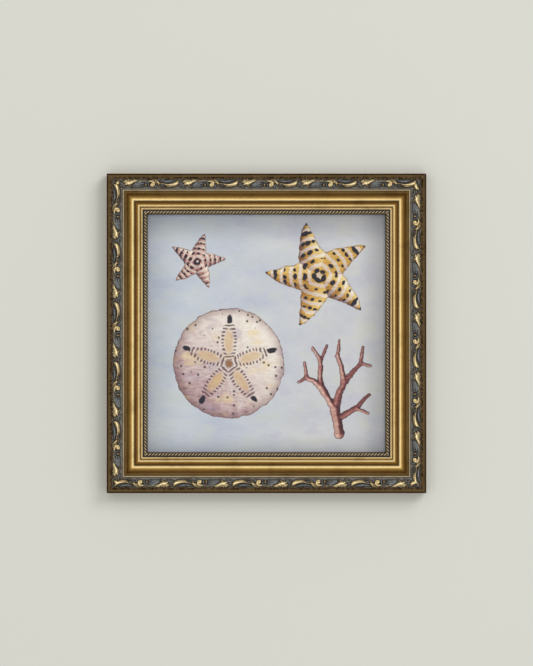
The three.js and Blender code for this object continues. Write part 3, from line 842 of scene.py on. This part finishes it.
THREAD_PITCH = 0.55
weave = woven(tree, in_mm, THREAD_PITCH)
texture = scaled(tree, dabs, 2.4, times(tree, weave, 0.35))
texture = calc(tree, "ADD", texture, bristles)
sheen = scaled(tree, dabs, 0.2, 0.5)
finish_shader(tree, shader,
              {"Base Color": picture, "Roughness": sheen, "Normal": bump(tree, texture, 0.00012, 0.5)},
              {"IOR": 1.45})
panel_mesh = board_mesh("canvas_board", "picture_panel", PANEL_ROUND, canvas)
fix("canvas_board", panel_mesh, "picture_panel")

# Backing board
# Thin hardboard cut to the rebate. Its rough side faces out at the back and keeps the print of
# the wire screen it was pressed on.
BACKING_ROUND = 0.3
SCREEN_PITCH = 1.6

hardboard, tree, shader = new_material("screen_backed_hardboard")
object_place = own_place(tree)
screen = woven(tree, object_place, SCREEN_PITCH * MM)
fibre = noise(tree, object_place, 420.0, 6.0, 0.7)
mottle = noise(tree, object_place, 26.0, 4.0, 0.6)
board_colour = ramp(tree, fibre, [(0.3, (84, 58, 38)), (0.5, (124, 92, 62)), (0.72, (152, 120, 86))])
board_colour = mix(tree, ease(tree, mottle, 0.45, 0.7, 0.3), board_colour, tint(92, 66, 46))
pressed = scaled(tree, screen, 0.4, fibre)
finish_shader(tree, shader,
              {"Base Color": board_colour, "Normal": bump(tree, pressed, 0.0004, 0.6)},
              {"Roughness": 0.8})
backing_mesh = board_mesh("backing", "backing_board", BACKING_ROUND, hardboard)
fix("hardboard_back", backing_mesh, "backing_board")

# Steel points
# Flat spring-steel tabs shot into the rebate's wall, two to a rail. Their round tails press on
# the backing board and are bent a little when the boards are changed.
POINT_LENGTH = 15.0
POINT_WIDTH = 5.5
POINT_THICK = 0.5
POINT_TIP = 3.0
POINT_IN_WOOD = 4.5
POINT_HEIGHT = 2.9
POINT_OFFSET = 60.0
TIP_SHARE = 0.02
TAIL_BEND = 0.35
TAIL_LENGTH = 6.0
MERGE_WITHIN = 0.02
POINT_SHARP = 40

steel, tree, shader = new_material("spring_steel")
object_place = own_place(tree)
brushed = grained(tree, object_place, (1, 1, 0.08), 2600.0, 2.0)
stain = noise(tree, object_place, 300.0, 4.0, 0.65)
steel_colour = ramp(tree, stain, [(0.35, (150, 150, 148)), (0.55, (196, 196, 194)), (0.75, (170, 150, 128))])
finish_shader(tree, shader,
              {"Base Color": steel_colour, "Roughness": scaled(tree, brushed, 0.3, 0.22),
               "Normal": bump(tree, brushed, 0.00005, 0.3)},
              {"Metallic": 1.0})


def point_mesh(name, x, turns):
    """One point: a grid shaped to a tip and a round tail, thickened, and put in its place."""
    tab = bmesh.new()
    bmesh.ops.create_grid(tab, x_segments=8, y_segments=24, size=0.5)
    bmesh.ops.rotate(tab, cent=(0, 0, 0), matrix=Matrix.Rotation(math.pi / 2, 3, "X"), verts=tab.verts)
    half = POINT_WIDTH / 2
    for vert in tab.verts:
        from_tip = (0.5 - vert.co.z) * POINT_LENGTH
        to_tail = POINT_LENGTH - from_tip
        narrow = min(1.0, from_tip / POINT_TIP)
        if to_tail < half:
            narrow = math.sqrt(max(0.0, 1 - (1 - to_tail / half) ** 2))
        bow = TAIL_BEND * max(0.0, 1 - to_tail / TAIL_LENGTH) ** 2
        vert.co = Vector((vert.co.x * POINT_WIDTH * max(narrow, TIP_SHARE), bow, -from_tip))
    bmesh.ops.remove_doubles(tab, verts=tab.verts, dist=MERGE_WITHIN)
    bmesh.ops.recalc_face_normals(tab, faces=tab.faces)
    bmesh.ops.solidify(tab, geom=tab.faces[:], thickness=POINT_THICK)
    low_side = min(vert.co.y for vert in tab.verts)
    bmesh.ops.translate(tab, vec=(0, -low_side, 0), verts=tab.verts)
    bmesh.ops.scale(tab, vec=(MM, MM, MM), verts=tab.verts)
    tip = TOP_EDGE - REBATE_WALL + POINT_IN_WOOD
    lift = -(STANDOFF + POINT_HEIGHT + POINT_THICK)
    bmesh.ops.translate(tab, vec=(x * MM, lift * MM, tip * MM), verts=tab.verts)
    bmesh.ops.transform(tab, matrix=quarter_turn(turns), verts=tab.verts)
    return mesh_of(tab, name, steel, POINT_SHARP)


for turns, side in enumerate(SIDES):
    for number, x in ((1, -POINT_OFFSET), (2, POINT_OFFSET)):
        name = f"steel_point_{side}_{number}"
        fix(name, point_mesh(name, x, turns), f"point_{side}_{number}")

# Hanger
# A pressed strip of thin plated steel, bridged away from the wood so that the head of a wall
# nail catches in its teeth. Two small round-headed nails hold its feet to the top rail.
STRIP_HALF = 23.0
STRIP_FOOT = 7.0
STRIP_RAMP = 2.5
STRIP_THICK = 0.7
STRIP_HIGH = 6.9
STRIP_CORNER = 1.6
STRIP_SOFT = 0.12
TOOTH_PITCH = 3.0
TOOTH_DEPTH = 1.3
CLOSE = 0.01

plated, tree, shader = new_material("brass_plate")
object_place = own_place(tree)
tarnish = noise(tree, object_place, 180.0, 5.0, 0.65)
scuff = noise(tree, object_place, 2200.0, 2.0)
plate_colour = ramp(tree, tarnish, [(0.32, (150, 116, 60)), (0.52, (206, 172, 98)), (0.74, (222, 194, 128))])
finish_shader(tree, shader,
              {"Base Color": plate_colour, "Roughness": scaled(tree, tarnish, 0.3, 0.16),
               "Normal": bump(tree, scuff, 0.00005, 0.25)},
              {"Metallic": 1.0})

bridge = STRIP_HALF - STRIP_FOOT - STRIP_RAMP
foot_out = -(STANDOFF - STRIP_THICK)
teeth = round(2 * bridge / TOOTH_PITCH)
strip_line = [(-STRIP_HALF, foot_out), (-STRIP_HALF + STRIP_FOOT, foot_out)]
for half_tooth in range(2 * teeth + 1):
    strip_line.append((-bridge + half_tooth * TOOTH_PITCH / 2, 0.0))
strip_line += [(STRIP_HALF - STRIP_FOOT, foot_out), (STRIP_HALF, foot_out)]
strip = bmesh.new()
upper = [strip.verts.new((x * MM, y * MM, STRIP_HIGH * MM)) for x, y in strip_line]
ridge = [strip.edges.new(pair) for pair in zip(upper, upper[1:])]
drawn_down = bmesh.ops.extrude_edge_only(strip, edges=ridge)["geom"]
lower = [item for item in drawn_down if isinstance(item, bmesh.types.BMVert)]
bmesh.ops.translate(strip, vec=(0, 0, -(STRIP_HIGH + TOOTH_DEPTH) * MM), verts=lower)
for vert in lower:
    from_middle = abs(vert.co.x) / MM
    if from_middle < bridge - CLOSE and round(from_middle / (TOOTH_PITCH / 2)) % 2 == 0:
        vert.co.z = 0.0
bmesh.ops.recalc_face_normals(strip, faces=strip.faces)
if sum(face.normal.y for face in strip.faces) < 0:
    bmesh.ops.reverse_faces(strip, faces=strip.faces)
bmesh.ops.solidify(strip, geom=strip.faces[:], thickness=STRIP_THICK * MM)
corner_edges = []
for edge in strip.edges:
    ends = [abs(vert.co.x) / MM for vert in edge.verts]
    heights = [vert.co.z for vert in edge.verts]
    if min(ends) > STRIP_HALF - CLOSE and abs(heights[0] - heights[1]) < CLOSE * MM:
        corner_edges.append(edge)
bmesh.ops.bevel(strip, geom=corner_edges, offset=STRIP_CORNER * MM, affect="EDGES", segments=5,
                profile=0.5, material=-1)
hanger_mesh = mesh_of(strip, "toothed_hanger", plated)
hanger_piece = fix("toothed_hanger", hanger_mesh, "hanger")
soft_edges = hanger_piece.modifiers.new("soft_edges", "BEVEL")
soft_edges.width = STRIP_SOFT * MM
soft_edges.segments = 2
soft_edges.limit_method = "ANGLE"

NAIL_HEAD = 1.9
NAIL_SEAT = 0.94
NAIL_CLEAR = 0.02
NAIL_RIM = 0.14
NAIL_DOME = 0.8
NAIL_SHANK = 0.65
NAIL_LENGTH = 6.0
NAIL_POINT = 1.4
NAIL_X = 19.5
NAIL_Z = 2.8
NAIL_STEPS = 28
ROUND_SHARP = 40
SEAM_WITHIN = 0.001
ARC_STEPS = 6
ARC = [step / ARC_STEPS * math.pi / 2 for step in range(ARC_STEPS + 1)]
BOTH_SIDES = (("left", -1), ("right", 1))


def turned(name, profile, steps, place, material):
    """A round piece on the back: its profile of radii and heights, spun about the way out."""
    spun = bmesh.new()
    ring = [spun.verts.new((radius * MM, height * MM, 0)) for radius, height in profile]
    line = [spun.edges.new(pair) for pair in zip(ring, ring[1:])]
    bmesh.ops.spin(spun, geom=ring + line, cent=(0, 0, 0), axis=(0, 1, 0), angle=math.tau,
                   steps=steps, use_merge=True)
    bmesh.ops.remove_doubles(spun, verts=spun.verts, dist=SEAM_WITHIN * MM)
    bmesh.ops.recalc_face_normals(spun, faces=spun.faces)
    bmesh.ops.translate(spun, vec=place, verts=spun.verts)
    return mesh_of(spun, name, material, ROUND_SHARP)


rim = STRIP_THICK + NAIL_RIM
nail_profile = [(0.0, -NAIL_LENGTH), (NAIL_SHANK, -NAIL_LENGTH + NAIL_POINT), (NAIL_SHANK, STRIP_THICK)]
nail_profile += [(NAIL_HEAD * NAIL_SEAT, STRIP_THICK + NAIL_CLEAR), (NAIL_HEAD, rim)]
for swing in ARC[1:]:
    dome = (NAIL_DOME - NAIL_RIM) * math.sin(swing)
    nail_profile.append((NAIL_HEAD * math.cos(swing), rim + dome))
for side, way in BOTH_SIDES:
    place = (way * NAIL_X * MM, -STANDOFF * MM, NAIL_Z * MM)
    nail_mesh = turned(f"hanger_nail_{side}", nail_profile, NAIL_STEPS, place, plated)
    fix(f"round_head_nail_{side}", nail_mesh, f"hanger_nail_{side}")

# Bumpers
# Moulded rubber buttons stuck to the lower corners of the back, so that the frame hangs clear
# of the wall and doesn't mark it.
BUMPER_RADIUS = 5.0
BUMPER_ROUND = 0.9
BUMPER_IN = 12.5
BUMPER_STEPS = 40
DIMPLE_RADIUS = 2.0
DIMPLE_DEPTH = 0.4
DIMPLE_FLOOR = (1.4, 0.35)

rubber, tree, shader = new_material("black_rubber")
object_place = own_place(tree)
bloom = noise(tree, object_place, 320.0, 4.0, 0.6)
pores = noise(tree, object_place, 2600.0, 2.0)
rubber_colour = ramp(tree, bloom, [(0.35, (34, 33, 32)), (0.6, (52, 50, 48)), (0.8, (74, 72, 70))])
finish_shader(tree, shader,
              {"Base Color": rubber_colour, "Roughness": scaled(tree, bloom, 0.25, 0.55),
               "Normal": bump(tree, pores, 0.00006, 0.4)},
              {"IOR": 1.5})
bumper_profile = [(0.0, 0.0), (BUMPER_RADIUS, 0.0)]
for swing in ARC:
    bumper_profile.append((BUMPER_RADIUS - BUMPER_ROUND * (1 - math.cos(swing)),
                           STANDOFF - BUMPER_ROUND * (1 - math.sin(swing))))
bumper_profile += [(DIMPLE_RADIUS, STANDOFF), (DIMPLE_FLOOR[0], STANDOFF - DIMPLE_FLOOR[1]),
                   (0.0, STANDOFF - DIMPLE_DEPTH)]
inset = OUTER / 2 - BUMPER_IN
for side, way in BOTH_SIDES:
    place = (way * inset * MM, -STANDOFF * MM, CENTRE.z - inset * MM)
    bumper_mesh = turned(f"bumper_{side}", bumper_profile, BUMPER_STEPS, place, rubber)
    fix(f"rubber_bumper_{side}", bumper_mesh, f"bumper_{side}")

# Wall and floor
# A plain painted wall that the frame hangs on and a plain pale floor below it. Both are seen by
# the camera alone, and can be looked through from behind and from below.
WALL_TONE = tint(216, 216, 207)
FLOOR_TONE = tint(214, 212, 206)
FLOOR_DROP = 0.9
STAGE_SIZE = 8.0


def stage_paint(name, tone):
    """Matt paint that can be looked through from its back."""
    paint, tree, shader = new_material(name)
    finish_shader(tree, shader, {}, {"Base Color": tone, "Roughness": 0.9, "Specular IOR Level": 0.0})
    behind = put(tree, "ShaderNodeNewGeometry").outputs["Backfacing"]
    clear = put(tree, "ShaderNodeBsdfTransparent").outputs["BSDF"]
    either = put(tree, "ShaderNodeMixShader", {0: behind, 1: shader.outputs["BSDF"], 2: clear})
    tree.links.new(either.outputs["Shader"], tree.nodes["Material Output"].inputs["Surface"])
    return paint


def stage_plane(name, turn, place, material):
    """One large flat sheet of the stage."""
    sheet = bmesh.new()
    bmesh.ops.create_grid(sheet, x_segments=1, y_segments=1, size=STAGE_SIZE / 2)
    bmesh.ops.rotate(sheet, cent=(0, 0, 0), matrix=Matrix.Rotation(turn, 3, "X"), verts=sheet.verts)
    bmesh.ops.translate(sheet, vec=place, verts=sheet.verts)
    plane = bpy.data.objects.new(name, mesh_of(sheet, name, material))
    bpy.context.collection.objects.link(plane)
    for rays in ("diffuse", "glossy", "transmission", "shadow"):
        setattr(plane, f"visible_{rays}", False)


stage_plane("wall", math.pi / 2, (0, 0, 0), stage_paint("wall_paint", WALL_TONE))
stage_plane("floor", 0.0, (0, 0, -FLOOR_DROP), stage_paint("floor_paint", FLOOR_TONE))

# Light
# A large soft light near the camera that the gilding mirrors, a softer one from the upper right
# that throws the shadow, a faint one behind for the back, and pale surroundings.
ROOM_TONE = (1.0, 1.0, 0.99, 1.0)
ROOM_STRENGTH = 0.42


def soft_light(name, size, power, place):
    """A square soft light turned to the middle of the picture."""
    lamp = bpy.data.lights.new(name, "AREA")
    lamp.shape = "SQUARE"
    lamp.size = size
    lamp.energy = power
    holder = bpy.data.objects.new(name, lamp)
    bpy.context.collection.objects.link(holder)
    holder.location = place
    holder.rotation_euler = (CENTRE - Vector(place)).to_track_quat("-Z", "Y").to_euler()
    holder.visible_camera = False
    return holder


soft_light("front_light", size=3.2, power=57.0, place=(0.0, -3.5, -0.112))
side_light = soft_light("side_light", size=2.0, power=66.0, place=(2.2, -3.7, 2.0))
side_light.visible_glossy = False
soft_light("back_light", size=2.0, power=14.0, place=(0.4, 2.2, 0.5))
world = bpy.data.worlds.new("pale_room")
world.use_nodes = True
background = world.node_tree.nodes["Background"]
background.inputs["Color"].default_value = ROOM_TONE
background.inputs["Strength"].default_value = ROOM_STRENGTH
bpy.context.scene.world = world
bpy.context.scene.view_settings.view_transform = "Standard"

# Camera
# Square on to the picture, a hair above its middle, and far enough away for the straight-sided
# look of the photograph.
MM_PER_PIXEL = 0.7945
PHOTO_HEIGHT = 666
VIEW_HEIGHT = PHOTO_HEIGHT * MM_PER_PIXEL
FRONT_EDGE = 18.1
VIEW_RISE = 0.25
lens = bpy.data.cameras.new("camera")
lens.lens = 250.0
lens.sensor_width = 36.0
camera = bpy.data.objects.new("camera", lens)
bpy.context.collection.objects.link(camera)
distance = VIEW_HEIGHT * lens.lens / lens.sensor_width
camera.location = (0, -(distance + FRONT_EDGE) * MM, CENTRE.z + VIEW_RISE * MM)
camera.rotation_euler = (math.pi / 2, 0, 0)
bpy.context.scene.camera = camera
